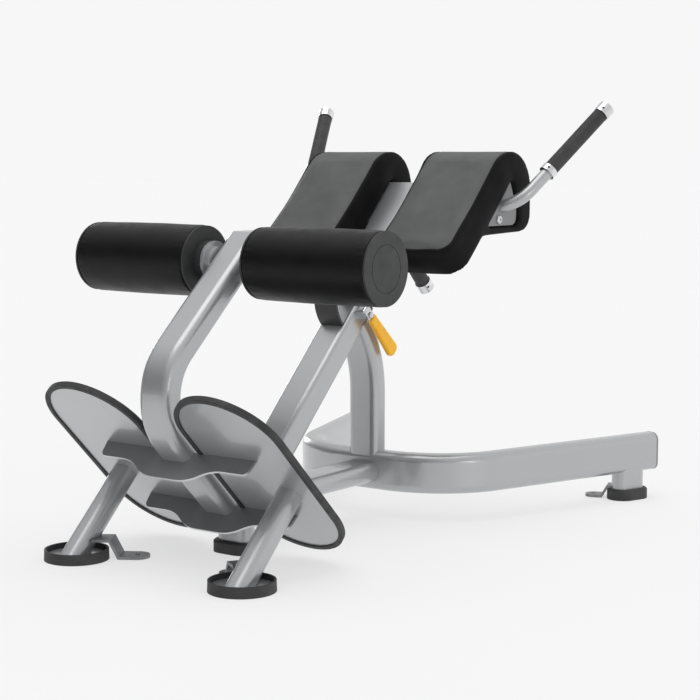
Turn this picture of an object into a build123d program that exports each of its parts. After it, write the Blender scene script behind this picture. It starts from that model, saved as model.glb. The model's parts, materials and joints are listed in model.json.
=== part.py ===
from build123d import *
import os
from math import atan, cos, degrees, pi, radians, sin, tan

# A 45 degree back-extension bench (roman chair).
#
# Frame: millimetres, +Z up, X across the bench, +Y from the foot plates towards the rear base.
# The origin is on the floor, in the middle of the bench's plan. X = 0 is the plane of symmetry.
#
# Everything that the user touches lies along one leaning line. Two lean coordinates are used:
#   along  runs up the lean, from the front feet towards the pads
#   out    runs square to the lean, towards the user's side of the pads
# Upright parts use  back (distance behind the front line)  and  up (height above the floor).

# ---------------------------------------------------------------- driving dimensions
LEAN = 45.0
FRONT_Y = -617.8            # the front line: where the lean line starts on the floor
WALL = 3.0                  # wall of the frame tubes

# roller arm, swept from the floor between the foot plates up to the rollers
ARM_WIDE = 78.0
ARM_DEEP = 52.0
ARM_CORNER = 17.0
ARM_BEND = 125.0
ARM_UPRIGHT_BACK = 8.0
ARM_TOP_ANGLE = 42.0
ARM_FOOT_UP = 60.0
ARM_TOP_UP = 661.0
ARM_CAP = 3.0

# rollers and their axle
AXLE_BACK = 233.0
AXLE_UP = 603.0
AXLE_RADIUS = 12.5
AXLE_END = 372.0
ROLLER_RADIUS = 75.0
ROLLER_INNER = 75.4
ROLLER_OUTER = 381.4
ROLLER_DISC = 4.0
ROLLER_DISC_RADIUS = 73.0
ROLLER_CORE_RADIUS = 31.0
ROLLER_CORE_WALL = 3.0
ROLLER_BOSS_RADIUS = 42.0
BUSH_RADIUS = 16.0
RUNNING_GAP = 0.06
CORE_FROM = 84.0            # each roller's steel core runs between these two places
CORE_TO = 372.0
BUSH_LONG = 20.0            # how far a cap's socket reaches into the core
SIDE_GAP = 0.4              # between a roller and the flange beside it
RIM_GROOVE = (46.3, 47.5)   # the ring pressed into the outer disc
RIM_GROOVE_DEEP = 1.0

# foot plates
PLATE_ALONG = 210.0
PLATE_MIDDLE_X = 175.0
PLATE_MIDDLE_OUT = 68.0
PLATE_WIDE = 247.0
PLATE_LONG = 487.0
PLATE_THICK = 5.0
TREAD_LIP = 11.0            # width of the rubber rim round the plate
TREAD_DROP = 3.0            # how far the rim reaches below the plate
TREAD_THICK = 5.0

# brackets that tie the plates to the roller arm
BRACKET_THICK = 5.0
UPPER_BRACKET_OUT = 122.0
LOWER_BRACKET_OUT = -58.0
BRACKET_HALF = 197.0
BRACKET_WING = 35.0         # how deep the wings are below the plates
BRACKET_WING_TAPER = 4.0
BRACKET_WING_FROM = 106.0
BRACKET_BELLY = 68.0
BRACKET_BELLY_HALF = 58.0
BRACKET_CORNER = 14.0
BRACKET_SWEEP = 85.0        # radius of the bends between belly and wings

# front legs and feet
LEG_X = 220.0
LEG_OUT = 18.0
LEG_WIDE = 50.0
LEG_DEEP = 46.0
LEG_CORNER = 19.0
FOOT_BACK = -10.0
FOOT_RADIUS = 66.5
FOOT_HIGH = 22.0
FOOT_WALL = 5.0
DISC_THICK = 6.0

# bolt-down tabs
TAB_THICK = 6.0
TAB_HOLE = 5.5
TAB_FLOOR_GAP = 1.0
FRONT_TAB_WIDE = 54.0
FRONT_TAB_TURN = 148.0
FRONT_TAB_BACK = 13.5       # where the leg's middle is at the tab's height
FRONT_TAB_UP = 36.0
FRONT_TAB_HOLE_BACK = 25.0  # from the tab's end to its hole
REAR_TAB_WIDE = 44.0
REAR_TAB_TURN = 201.0
REAR_TAB_HOLE_BACK = 19.0

# rear base, spine, upright post
BASE_BACK = 700.0
BASE_UP = 109.0
BASE_WIDE = 50.0
BASE_HIGH = 90.0
BASE_CORNER = 18.0
BASE_BEND = 210.0
BASE_CORNER_X = 204.0
BASE_END_X = 412.0
BASE_END_BACK = 1298.0
BASE_CAP = 7.0
SPINE_UP = 105.0
SPINE_WIDE = 95.0
SPINE_HIGH = 45.0
SPINE_CORNER = 22.0
POST_WIDE = 80.0
POST_DEEP = 48.0
POST_CORNER = 17.0
POST_BEND_UP = 285.0
POST_BEND = 260.0

# oblong stubs and shoes under the rear base and under the roller arm
STUB_LONG = 85.0
STUB_WIDE = 46.0
SHOE_LONG = 105.0
SHOE_WIDE = 70.0
SHOE_HIGH = 25.0
SHOE_FLOOR = 8.0
REAR_SHOE = (389.0, 1230.0)
CENTRE_SHOE = (0.0, 235.0)

# column, carriage tube and their guides
COLUMN_OUT = -113.0
COLUMN_WIDE = 76.0
COLUMN_DEEP = 58.0
COLUMN_CORNER = 12.0
COLUMN_TOP = 805.0
CARRIAGE_WIDE = 64.0
CARRIAGE_DEEP = 46.0
CARRIAGE_CORNER = 8.0
CARRIAGE_BOTTOM = 560.0
CARRIAGE_TOP = 1150.0
GUIDE_GAP = 0.3
GUIDE_LONG = 65.0
GUIDE_RIM = 6.0
HOLE_PITCH = 25.0
HOLE_COUNT = 9
HOLE_RADIUS = 5.5

# pull pin and lever
PIN_ALONG = 775.0
PIN_OUT = -113.0
PIN_RADIUS = 5.0
PIN_NOSE_X = 32.4
HOUSING_RADIUS = 11.0
HOUSING_END_X = 54.5
HOUSING_BORE = 8.0
PIN_COLLAR_RADIUS = 7.6
PIN_COLLAR = (40.8, 42.8)
PIN_STEM_RADIUS = 4.0
PIN_HEAD_X = 60.4
PIN_HEAD_RADIUS = 6.5
PIN_HEAD_THICK = 3.0
SPRING_START_X = 40.5
SPRING_END_X = 52.5
SPRING_WIRE = 0.4
SPRING_RADIUS = 6.6
SPRING_TURNS = 3
PIVOT_X = 58.0
PIVOT_OUT = -91.0
PIVOT_RADIUS = 3.0
KNUCKLE_RADIUS = 5.4
LEVER_PLATE = 4.0
LEVER_HALF = 10.0
LEVER_GRIP_OUT = (-121.0, -243.0)
LEVER_GRIP_HALF = (11.0, 18.0)
LEVER_GRIP_THICK = 14.0
LEVER_GRIP_ROUND = (3.0, 14.0)      # corner radii at the grip's top and at its free end
LEVER_GRIP_EDGE = 5.0
LEVER_TANG = 40.0           # how far the plate reaches into the grip
EAR_DEEP = 11.0
EAR_CORNER = 3.0
EAR_PAST_PIVOT = 6.0

# curved guard strap on the column
GUARD_WIDE = 60.0
GUARD_THICK = 6.0
GUARD_RADIUS = 89.0

# hip pads
PAD_INNER = 61.0
PAD_OUTER = 268.0
PAD_FACE_OUT = -13.0
PAD_BACK_OUT = -84.0
PAD_BOTTOM = 877.0
CREST_ALONG = 1152.0
CREST_RADIUS = 84.0
HOOK_LOW_UP = 688.0
HOOK_FLOOR_UP = 643.0
HOOK_CORNER = 40.0
POCKET_FLOOR_UP = 661.0
POCKET_HIGH_ALONG = 1170.0
POCKET_TOP = (917.0, 702.0)     # back and up of the pocket's upper corner behind
POCKET_BACK = 914.0
POCKET_CORNER = 20.0
PAD_CORNER = 42.0
BOARD_THICK = 10.0

# beam that carries the pads and handles
BEAM_THICK = 6.0
BEAM_LOW = 990.0
BEAM_SHOULDER = 1026.0      # above here it is full width, below here a tongue between the pads
BEAM_TONGUE_HALF = 58.0
BEAM_HIGH = 1155.0
BEAM_HALF = 257.0
BEAM_END_THICK = 5.0
beam_back = PAD_BACK_OUT - BEAM_THICK

# handles
HANDLE_RADIUS = 14.0
HANDLE_OUT = -104.0
HANDLE_START_X = 200.0
HANDLE_CORNER = (294.0, 1098.0)
HANDLE_SPLAY = 18.5
HANDLE_BEND = 85.0
HANDLE_REACH = 337.0
GRIP_RADIUS = 17.0
CAP_RADIUS = 19.0
CAP_LONG = 26.0
CAP_EDGE = 1.5
COLLAR_LONG = 15.0
GRIP_LONG = 182.0
LIFT_ALONG = 1022.0
LIFT_REACH = 171.0
LIFT_GRIP_LONG = 122.0
BAR_SHORT = 6.0             # how far a bar stops inside its end cap
SCREW_RADIUS = 3.0
SCREW_TURN = 28.0
SCREW_FROM_EDGE = 9.0
SCREW_SUNK = 0.8

# ---------------------------------------------------------------- lean frame and helpers
COS = cos(radians(LEAN))
SIN = sin(radians(LEAN))
ALONG = Vector(0, COS, SIN)
OUT = Vector(0, -SIN, COS)
FRONT = Vector(0, FRONT_Y, 0)
HANDS = {"left": -1, "right": 1}


def lean_point(x, along, out):
    """The point in the bench's frame at lean coordinates (along, out)."""
    return FRONT + Vector(x, 0, 0) + ALONG * along + OUT * out


def spot(along, out):
    """(back, up) of a point given in lean coordinates."""
    return (along * COS - out * SIN, along * SIN + out * COS)


def lean_at_height(out, up):
    """The along value where the line of this out value reaches a height."""
    return (up - out * COS) / SIN


def across(along):
    """Plane square to the lean, sketch axes (X, out); it looks down the lean."""
    return Plane(origin=FRONT + ALONG * along, x_dir=(1, 0, 0), z_dir=-ALONG)


def facing(out):
    """Plane parallel to the pads' faces, sketch axes (X, along)."""
    return Plane(origin=FRONT + OUT * out, x_dir=(1, 0, 0), z_dir=OUT)


def beside(x):
    """Side plane, sketch axes (along, out)."""
    return Plane(origin=FRONT + Vector(x, 0, 0), x_dir=ALONG, z_dir=(1, 0, 0))


def side(x):
    """Side plane, sketch axes (back, up)."""
    return Plane(origin=FRONT + Vector(x, 0, 0), x_dir=(0, 1, 0), z_dir=(1, 0, 0))


def plan(up):
    """Level plane, sketch axes (X, back)."""
    return Plane(origin=FRONT + Vector(0, 0, up))


def tube_section(wide, deep, corner, wall=None):
    """A rounded rectangular section, hollow when a wall is given."""
    RectangleRounded(wide, deep, corner)
    if wall:
        RectangleRounded(wide - 2 * wall, deep - 2 * wall, corner - wall, mode=Mode.SUBTRACT)


def oblong(length, width, wall=None):
    """A flat-sided oval section, hollow when a wall is given."""
    SlotOverall(length, width)
    if wall:
        SlotOverall(length - 2 * wall, width - 2 * wall, mode=Mode.SUBTRACT)


def save(piece, node):
    """Name a finished piece and write it as its own STEP file."""
    piece.part.label = node
    export_step(piece.part, f"parts/{node}.step")


os.makedirs("parts", exist_ok=True)


# ---------------------------------------------------------------- frame tubes
def sweep_arm(wall=None):
    """The roller arm: up between the plates, a C bend, then back up to the axle."""
    bottom = spot(PLATE_ALONG, -150)
    low_bend = (ARM_UPRIGHT_BACK, bottom[0] + bottom[1] - ARM_UPRIGHT_BACK)
    slope = tan(radians(ARM_TOP_ANGLE))
    high_bend = (ARM_UPRIGHT_BACK, AXLE_UP - slope * (AXLE_BACK - ARM_UPRIGHT_BACK))
    top = (AXLE_BACK + 100, AXLE_UP + slope * 100)
    with BuildLine(side(0)) as route:
        FilletPolyline(bottom, low_bend, high_bend, top, radius=ARM_BEND)
    with BuildSketch(facing(-150)) as section:
        with Locations((0, PLATE_ALONG)):
            tube_section(ARM_WIDE, ARM_DEEP, ARM_CORNER, wall)
    sweep(section.sketch, path=route.line)


def sweep_base(wall=None):
    """The splayed U on the floor behind: half is swept, then mirrored."""
    with BuildLine(plan(BASE_UP)) as route:
        FilletPolyline(
            (0, BASE_BACK), (BASE_CORNER_X, BASE_BACK), (BASE_END_X, BASE_END_BACK), radius=BASE_BEND
        )
    with BuildSketch(side(0)) as section:
        with Locations((BASE_BACK, BASE_UP)):
            tube_section(BASE_WIDE, BASE_HIGH, BASE_CORNER, wall)
    sweep(section.sketch, path=route.line)


def extrude_column(wall=None):
    """The leaning column, long enough to run into the spine below."""
    with BuildSketch(across(COLUMN_TOP)) as section:
        with Locations((0, COLUMN_OUT)):
            tube_section(COLUMN_WIDE, COLUMN_DEEP, COLUMN_CORNER, wall)
    extrude(section.sketch, amount=COLUMN_TOP - 240)


def extrude_spine(wall=None):
    """The flat oval spine between the roller arm and the rear base."""
    start = 200.0
    with BuildSketch(Plane(origin=FRONT + Vector(0, start, SPINE_UP), x_dir=(1, 0, 0), z_dir=(0, 1, 0))) as section:
        tube_section(SPINE_WIDE, SPINE_HIGH, SPINE_CORNER, wall)
    extrude(section.sketch, amount=BASE_BACK - BASE_WIDE / 2 - start)


def extrude_legs(wall=None):
    """Both front legs, square to the foot plates."""
    with BuildSketch(across(PLATE_ALONG)) as section:
        with Locations((-LEG_X, LEG_OUT), (LEG_X, LEG_OUT)):
            tube_section(LEG_WIDE, LEG_DEEP, LEG_CORNER, wall)
    extrude(section.sketch, amount=PLATE_ALONG + 60)


with BuildPart() as arm_mass:
    sweep_arm()

with BuildPart() as base_mass:
    sweep_base()
    mirror(about=Plane.YZ)

with BuildPart() as column_mass:
    extrude_column()

with BuildPart() as spine_mass:
    extrude_spine()

with BuildPart() as leg_mass:
    extrude_legs()
    split(bisect_by=plan(FOOT_WALL + DISC_THICK), keep=Keep.TOP)

with BuildPart() as roller_arm:
    sweep_arm(WALL)
    split(bisect_by=plan(ARM_FOOT_UP), keep=Keep.TOP)
    split(bisect_by=plan(ARM_TOP_UP), keep=Keep.BOTTOM)
    with BuildSketch(side(0)) as axle_hole:
        with Locations((AXLE_BACK, AXLE_UP)):
            Circle(AXLE_RADIUS)
    extrude(amount=ARM_WIDE, both=True, mode=Mode.SUBTRACT)
save(roller_arm, "roller_arm")

with BuildPart() as roller_arm_cap:
    add(arm_mass.part)
    split(bisect_by=plan(ARM_TOP_UP), keep=Keep.TOP)
    split(bisect_by=plan(ARM_TOP_UP + ARM_CAP), keep=Keep.BOTTOM)
save(roller_arm_cap, "roller_arm_cap")

with BuildPart() as base_tube:
    sweep_base(WALL)
    mirror(about=Plane.YZ)
save(base_tube, "base_tube")

arm_turn = atan((BASE_END_X - BASE_CORNER_X) / (BASE_END_BACK - BASE_BACK))
with BuildPart() as base_end_caps:
    cap_plane = Plane(
        origin=FRONT + Vector(BASE_END_X, BASE_END_BACK, BASE_UP),
        x_dir=(cos(arm_turn), -sin(arm_turn), 0),
        z_dir=(sin(arm_turn), cos(arm_turn), 0),
    )
    with BuildSketch(cap_plane):
        tube_section(BASE_WIDE, BASE_HIGH, BASE_CORNER)
    extrude(amount=BASE_CAP)
    chamfer(faces().sort_by(Axis.Y)[-1].edges(), 2)
    mirror(about=Plane.YZ)
save(base_end_caps, "base_end_caps")

with BuildPart() as spine_tube:
    extrude_spine(WALL)
    add(arm_mass.part, mode=Mode.SUBTRACT)
save(spine_tube, "spine_tube")

with BuildPart() as column_tube:
    extrude_column(WALL)
    split(bisect_by=plan(SPINE_UP), keep=Keep.TOP)
    add(spine_mass.part, mode=Mode.SUBTRACT)
    with BuildSketch(beside(0)):
        with Locations((PIN_ALONG, PIN_OUT)):
            Circle(HOLE_RADIUS)
    extrude(amount=COLUMN_WIDE, mode=Mode.SUBTRACT)
save(column_tube, "column_tube")

with BuildPart() as upright_post:
    turn = radians(40)
    with BuildLine(side(0)) as post_route:
        rise = Line((BASE_BACK, BASE_UP), (BASE_BACK, POST_BEND_UP))
        bend = CenterArc((BASE_BACK - POST_BEND, POST_BEND_UP), POST_BEND, 0, degrees(turn))
    with BuildSketch(plan(BASE_UP)):
        with Locations((0, BASE_BACK)):
            tube_section(POST_WIDE, POST_DEEP, POST_CORNER, WALL)
    sweep(path=post_route.line)
    add(base_mass.part, mode=Mode.SUBTRACT)
    add(column_mass.part, mode=Mode.SUBTRACT)
    split(bisect_by=plan(BASE_UP), keep=Keep.TOP)
save(upright_post, "upright_post")


# ---------------------------------------------------------------- front legs, feet and tabs
with BuildPart() as front_legs:
    extrude_legs(WALL)
    split(bisect_by=plan(FOOT_WALL + DISC_THICK), keep=Keep.TOP)
save(front_legs, "front_legs")

with BuildPart() as foot_discs:
    with BuildSketch(plan(FOOT_WALL)):
        with Locations((-LEG_X, FOOT_BACK), (LEG_X, FOOT_BACK)):
            Circle(FOOT_RADIUS - FOOT_WALL)
    extrude(amount=DISC_THICK)
save(foot_discs, "front_foot_discs")


def stepped_tab(centre, heading, wide, high, start, step, run, end, hole_back):
    """A Z-shaped bar from a foot to the floor, rounded at its end, with a bolt hole.

    It is level from start to step, slopes down over run, and lies near the floor up to end.
    """
    turn = radians(heading)
    direction = Vector(cos(turn), sin(turn), 0)
    plane = Plane(
        origin=FRONT + Vector(centre[0], centre[1], 0),
        x_dir=direction,
        z_dir=direction.cross(Vector(0, 0, 1)),
    )
    low = TAB_FLOOR_GAP
    thick = TAB_THICK
    corner = thick * tan(atan((high - low) / run) / 2)
    with BuildSketch(plane) as profile:
        with BuildLine():
            Polyline(
                (start, high), (step, high), (step + run, low), (end, low), (end, low + thick),
                (step + run + corner, low + thick), (step + corner, high + thick), (start, high + thick),
                close=True,
            )
        make_face()
    extrude(profile.sketch, amount=wide / 2, both=True)
    outline_plane = Plane(origin=plane.origin, x_dir=direction, z_dir=(0, 0, 1))
    with BuildSketch(outline_plane) as outline:
        with Locations(((start + end) / 2, 0)):
            Rectangle(end - start, wide)
        fillet(outline.vertices().sort_by(Axis.X)[-2:], wide / 2 - 1)
        with Locations((end - hole_back, 0)):
            Circle(TAB_HOLE, mode=Mode.SUBTRACT)
    extrude(outline.sketch, amount=high + 2 * thick, mode=Mode.INTERSECT)


with BuildPart() as front_tabs:
    stepped_tab(
        (LEG_X, FRONT_TAB_BACK), FRONT_TAB_TURN, FRONT_TAB_WIDE, FRONT_TAB_UP,
        start=20, step=55, run=18, end=135, hole_back=FRONT_TAB_HOLE_BACK,
    )
    add(leg_mass.part, mode=Mode.SUBTRACT)
    mirror(about=Plane.YZ)
save(front_tabs, "front_tabs")

with BuildPart() as foot_cups:
    with BuildSketch(plan(0)):
        with Locations((-LEG_X, FOOT_BACK), (LEG_X, FOOT_BACK)):
            Circle(FOOT_RADIUS)
    extrude(amount=FOOT_HIGH, taper=2)
    with BuildSketch(plan(FOOT_WALL)):
        with Locations((-LEG_X, FOOT_BACK), (LEG_X, FOOT_BACK)):
            Circle(FOOT_RADIUS - FOOT_WALL)
    extrude(amount=FOOT_HIGH, mode=Mode.SUBTRACT)
save(foot_cups, "front_foot_cups")


# ---------------------------------------------------------------- oblong stubs and shoes
rear_turn = 90 - degrees(arm_turn)
with BuildPart() as rear_stubs:
    with BuildSketch(plan(SHOE_FLOOR)):
        with Locations(REAR_SHOE):
            with Locations(Rot(0, 0, rear_turn)):
                oblong(STUB_LONG, STUB_WIDE, WALL)
    extrude(amount=BASE_UP - SHOE_FLOOR)
    mirror(about=Plane.YZ)
    add(base_mass.part, mode=Mode.SUBTRACT)
save(rear_stubs, "rear_stubs")

with BuildPart() as rear_shoes:
    with BuildSketch(plan(0)):
        with Locations(REAR_SHOE):
            with Locations(Rot(0, 0, rear_turn)):
                oblong(SHOE_LONG, SHOE_WIDE)
    extrude(amount=SHOE_HIGH)
    with BuildSketch(plan(SHOE_FLOOR)):
        with Locations(REAR_SHOE):
            with Locations(Rot(0, 0, rear_turn)):
                oblong(STUB_LONG, STUB_WIDE)
    extrude(amount=SHOE_HIGH, mode=Mode.SUBTRACT)
    chamfer(faces().sort_by(Axis.Z)[-1].outer_wire().edges(), 3)
    mirror(about=Plane.YZ)
save(rear_shoes, "rear_shoes")

with BuildPart() as rear_tabs:
    stepped_tab(
        REAR_SHOE, REAR_TAB_TURN, REAR_TAB_WIDE, SHOE_HIGH,
        start=22, step=44, run=14, end=100, hole_back=REAR_TAB_HOLE_BACK,
    )
    with BuildSketch(plan(0)):
        with Locations(REAR_SHOE):
            with Locations(Rot(0, 0, rear_turn)):
                oblong(STUB_LONG, STUB_WIDE)
    extrude(amount=BASE_UP, mode=Mode.SUBTRACT)
    mirror(about=Plane.YZ)
save(rear_tabs, "rear_tabs")

with BuildPart() as centre_stub:
    with BuildSketch(plan(SHOE_FLOOR)):
        with Locations(CENTRE_SHOE):
            oblong(STUB_LONG, STUB_WIDE, WALL)
    extrude(amount=ARM_FOOT_UP - SHOE_FLOOR)
save(centre_stub, "centre_stub")

with BuildPart() as centre_shoe:
    with BuildSketch(plan(0)):
        with Locations(CENTRE_SHOE):
            oblong(SHOE_LONG, SHOE_WIDE)
    extrude(amount=SHOE_HIGH)
    with BuildSketch(plan(SHOE_FLOOR)):
        with Locations(CENTRE_SHOE):
            oblong(STUB_LONG, STUB_WIDE)
    extrude(amount=SHOE_HIGH, mode=Mode.SUBTRACT)
    chamfer(faces().sort_by(Axis.Z)[-1].outer_wire().edges(), 3)
save(centre_shoe, "centre_shoe")


# ---------------------------------------------------------------- brackets, foot plates, treads
def plate_bracket(out):
    """A standing plate that holds both foot plates and passes in front of the arm."""
    wing = PLATE_ALONG - BRACKET_WING
    belly = PLATE_ALONG - BRACKET_BELLY
    with BuildSketch(facing(out - BRACKET_THICK / 2)) as outline:
        with BuildLine():
            Polyline(
                (0, PLATE_ALONG), (BRACKET_HALF, PLATE_ALONG), (BRACKET_HALF - BRACKET_WING_TAPER, wing),
                (BRACKET_WING_FROM, wing), (BRACKET_BELLY_HALF, belly), (0, belly), close=True,
            )
        make_face()
        fillet(outline.vertices().sort_by(Axis.X)[-2], BRACKET_CORNER)
        fillet(outline.vertices().sort_by(Axis.X)[2:4], BRACKET_SWEEP)
        mirror(about=Plane.YZ)
    extrude(outline.sketch, amount=BRACKET_THICK)
    add(arm_mass.part, mode=Mode.SUBTRACT)


with BuildPart() as upper_bracket:
    plate_bracket(UPPER_BRACKET_OUT)
save(upper_bracket, "upper_bracket")

with BuildPart() as lower_bracket:
    plate_bracket(LOWER_BRACKET_OUT)
save(lower_bracket, "lower_bracket")

PLATE_MIDDLES = [(-PLATE_MIDDLE_X, PLATE_MIDDLE_OUT), (PLATE_MIDDLE_X, PLATE_MIDDLE_OUT)]

with BuildPart() as foot_plates:
    with BuildSketch(across(PLATE_ALONG)):
        with Locations(*PLATE_MIDDLES):
            SlotOverall(PLATE_LONG - 2 * TREAD_LIP, PLATE_WIDE - 2 * TREAD_LIP, rotation=90)
    extrude(amount=-PLATE_THICK)
save(foot_plates, "foot_plates")

with BuildPart() as foot_treads:
    with BuildSketch(across(PLATE_ALONG)):
        with Locations(*PLATE_MIDDLES):
            SlotOverall(PLATE_LONG, PLATE_WIDE, rotation=90)
    extrude(amount=-(PLATE_THICK + TREAD_THICK))
    with BuildSketch(across(PLATE_ALONG)) as rim:
        with Locations(*PLATE_MIDDLES):
            SlotOverall(PLATE_LONG, PLATE_WIDE, rotation=90)
            SlotOverall(PLATE_LONG - 2 * TREAD_LIP, PLATE_WIDE - 2 * TREAD_LIP, rotation=90, mode=Mode.SUBTRACT)
    extrude(rim.sketch, amount=TREAD_DROP)
    chamfer(faces().group_by(Axis(tuple(FRONT), tuple(ALONG)))[-1].edges(), 2)
    chamfer(faces().group_by(Axis(tuple(FRONT), tuple(ALONG)))[0].edges(), 1)
    add(foot_plates.part, mode=Mode.SUBTRACT)
    add(upper_bracket.part, mode=Mode.SUBTRACT)
    add(lower_bracket.part, mode=Mode.SUBTRACT)
save(foot_treads, "foot_treads")


# ---------------------------------------------------------------- axle, hubs and rollers
def ring(x_start, x_end, radius, bore=None):
    """A round piece on the axle's line, from one X to another."""
    with BuildSketch(side(x_start)) as face:
        with Locations((AXLE_BACK, AXLE_UP)):
            Circle(radius)
            if bore:
                Circle(bore, mode=Mode.SUBTRACT)
    extrude(face.sketch, amount=x_end - x_start)


CLIP_X = 369.5
CLIP_THICK = 1.2
CLIP_DEPTH = 1.2

with BuildPart() as roller_axle:
    ring(-AXLE_END, AXLE_END, AXLE_RADIUS)
    with BuildSketch(side(CLIP_X)) as groove:
        with Locations((AXLE_BACK, AXLE_UP)):
            Circle(AXLE_RADIUS)
            Circle(AXLE_RADIUS - CLIP_DEPTH, mode=Mode.SUBTRACT)
    extrude(groove.sketch, amount=CLIP_THICK, mode=Mode.SUBTRACT)
    mirror_groove = mirror(groove.sketch, about=Plane.YZ, mode=Mode.PRIVATE)
    extrude(mirror_groove, amount=-CLIP_THICK, dir=(1, 0, 0), mode=Mode.SUBTRACT)
save(roller_axle, "roller_axle")

HUB_RADIUS = 31.0
FLANGE_FROM = 49.0
FLANGE_TO = 57.0

with BuildPart() as axle_hubs:
    ring(ARM_WIDE / 2, FLANGE_FROM, HUB_RADIUS, AXLE_RADIUS)
    ring(FLANGE_FROM, FLANGE_TO, ROLLER_BOSS_RADIUS, AXLE_RADIUS)
    chamfer(faces().sort_by(Axis.X)[-1].edges().sort_by(SortBy.RADIUS)[-1], 1.5)
    mirror(about=Plane.YZ)
save(axle_hubs, "axle_hubs")

for hand, sign in HANDS.items():
    core_bore = ROLLER_CORE_RADIUS - ROLLER_CORE_WALL
    inner_start = sign * (FLANGE_TO + SIDE_GAP)
    inner_face = sign * ROLLER_INNER
    inner_back = sign * (ROLLER_INNER + ROLLER_DISC)
    outer_back = sign * (ROLLER_OUTER - ROLLER_DISC)
    outer_face = sign * ROLLER_OUTER
    core_from = sign * CORE_FROM
    core_to = sign * CORE_TO

    with BuildPart() as roller_core:
        ring(core_from, core_to, ROLLER_CORE_RADIUS, core_bore)
    save(roller_core, f"{hand}_roller_core")

    with BuildPart() as roller_pad:
        ring(inner_back, outer_back, ROLLER_RADIUS, ROLLER_CORE_RADIUS)
    save(roller_pad, f"{hand}_roller_pad")

    with BuildPart() as inner_cap:
        ring(inner_start, inner_face, ROLLER_BOSS_RADIUS, BUSH_RADIUS)
        ring(inner_face, inner_back, ROLLER_DISC_RADIUS, BUSH_RADIUS)
        ring(inner_back, core_from, ROLLER_CORE_RADIUS, BUSH_RADIUS)
        ring(core_from, core_from + sign * BUSH_LONG, core_bore, BUSH_RADIUS)
    save(inner_cap, f"{hand}_roller_inner_cap")

    with BuildPart() as outer_cap:
        ring(core_to - sign * BUSH_LONG, core_to, core_bore, BUSH_RADIUS)
        ring(core_to, core_to + sign * ROLLER_DISC, ROLLER_CORE_RADIUS, BUSH_RADIUS)
        ring(core_to + sign * ROLLER_DISC, outer_back, ROLLER_CORE_RADIUS)
        ring(outer_back, outer_face, ROLLER_DISC_RADIUS)
        with BuildSketch(side(outer_face)) as rim_groove:
            with Locations((AXLE_BACK, AXLE_UP)):
                Circle(RIM_GROOVE[1])
                Circle(RIM_GROOVE[0], mode=Mode.SUBTRACT)
        extrude(rim_groove.sketch, amount=-sign * RIM_GROOVE_DEEP, mode=Mode.SUBTRACT)
    save(outer_cap, f"{hand}_roller_outer_cap")

    with BuildPart() as roller_bushes:
        ring(inner_start, sign * (CORE_FROM - 2), BUSH_RADIUS, AXLE_RADIUS + RUNNING_GAP)
        ring(core_to - sign * BUSH_LONG, sign * (CORE_TO - 4), BUSH_RADIUS, AXLE_RADIUS + RUNNING_GAP)
    save(roller_bushes, f"{hand}_roller_bushes")

with BuildPart() as axle_clips:
    ring(CLIP_X, CLIP_X + CLIP_THICK, AXLE_RADIUS + 2.3, AXLE_RADIUS - CLIP_DEPTH)
    mirror(about=Plane.YZ)
save(axle_clips, "axle_clips")


# ---------------------------------------------------------------- column top: guide, pin, lever, guard
with BuildPart() as guide_bush:
    inner_wide = COLUMN_WIDE - 2 * WALL
    inner_deep = COLUMN_DEEP - 2 * WALL
    with BuildSketch(across(COLUMN_TOP + GUIDE_RIM)):
        with Locations((0, COLUMN_OUT)):
            RectangleRounded(COLUMN_WIDE, COLUMN_DEEP, COLUMN_CORNER)
    extrude(amount=GUIDE_RIM)
    with BuildSketch(across(COLUMN_TOP)):
        with Locations((0, COLUMN_OUT)):
            RectangleRounded(inner_wide, inner_deep, COLUMN_CORNER - WALL)
    extrude(amount=GUIDE_LONG)
    with BuildSketch(across(COLUMN_TOP + GUIDE_RIM)):
        with Locations((0, COLUMN_OUT)):
            RectangleRounded(
                CARRIAGE_WIDE + 2 * GUIDE_GAP, CARRIAGE_DEEP + 2 * GUIDE_GAP, CARRIAGE_CORNER + GUIDE_GAP
            )
    extrude(amount=GUIDE_LONG + GUIDE_RIM, mode=Mode.SUBTRACT)
    with BuildSketch(beside(0)):
        with Locations((PIN_ALONG, PIN_OUT)):
            Circle(HOLE_RADIUS)
    extrude(amount=COLUMN_WIDE, mode=Mode.SUBTRACT)
save(guide_bush, "guide_bush")


def on_pin(x_start, x_end, radius, bore=None, mode=Mode.ADD):
    """A round piece on the pull pin's line, from one X to another."""
    with BuildSketch(beside(x_start)) as face:
        with Locations((PIN_ALONG, PIN_OUT)):
            Circle(radius)
            if bore:
                Circle(bore, mode=Mode.SUBTRACT)
    extrude(face.sketch, amount=x_end - x_start, mode=mode)


with BuildPart() as pin_housing:
    on_pin(COLUMN_WIDE / 2, HOUSING_END_X, HOUSING_RADIUS, PIN_RADIUS + RUNNING_GAP)
    on_pin(SPRING_START_X, SPRING_END_X, HOUSING_BORE, mode=Mode.SUBTRACT)
save(pin_housing, "pin_housing")

with BuildPart() as pull_pin:
    on_pin(PIN_NOSE_X, HOUSING_END_X, PIN_RADIUS)
    on_pin(PIN_COLLAR[0], PIN_COLLAR[1], PIN_COLLAR_RADIUS)
    on_pin(HOUSING_END_X, PIN_HEAD_X, PIN_STEM_RADIUS)
    on_pin(PIN_HEAD_X, PIN_HEAD_X + PIN_HEAD_THICK, PIN_HEAD_RADIUS)
    chamfer(faces().sort_by(Axis.X)[0].edges(), 1)
save(pull_pin, "pull_pin")

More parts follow.
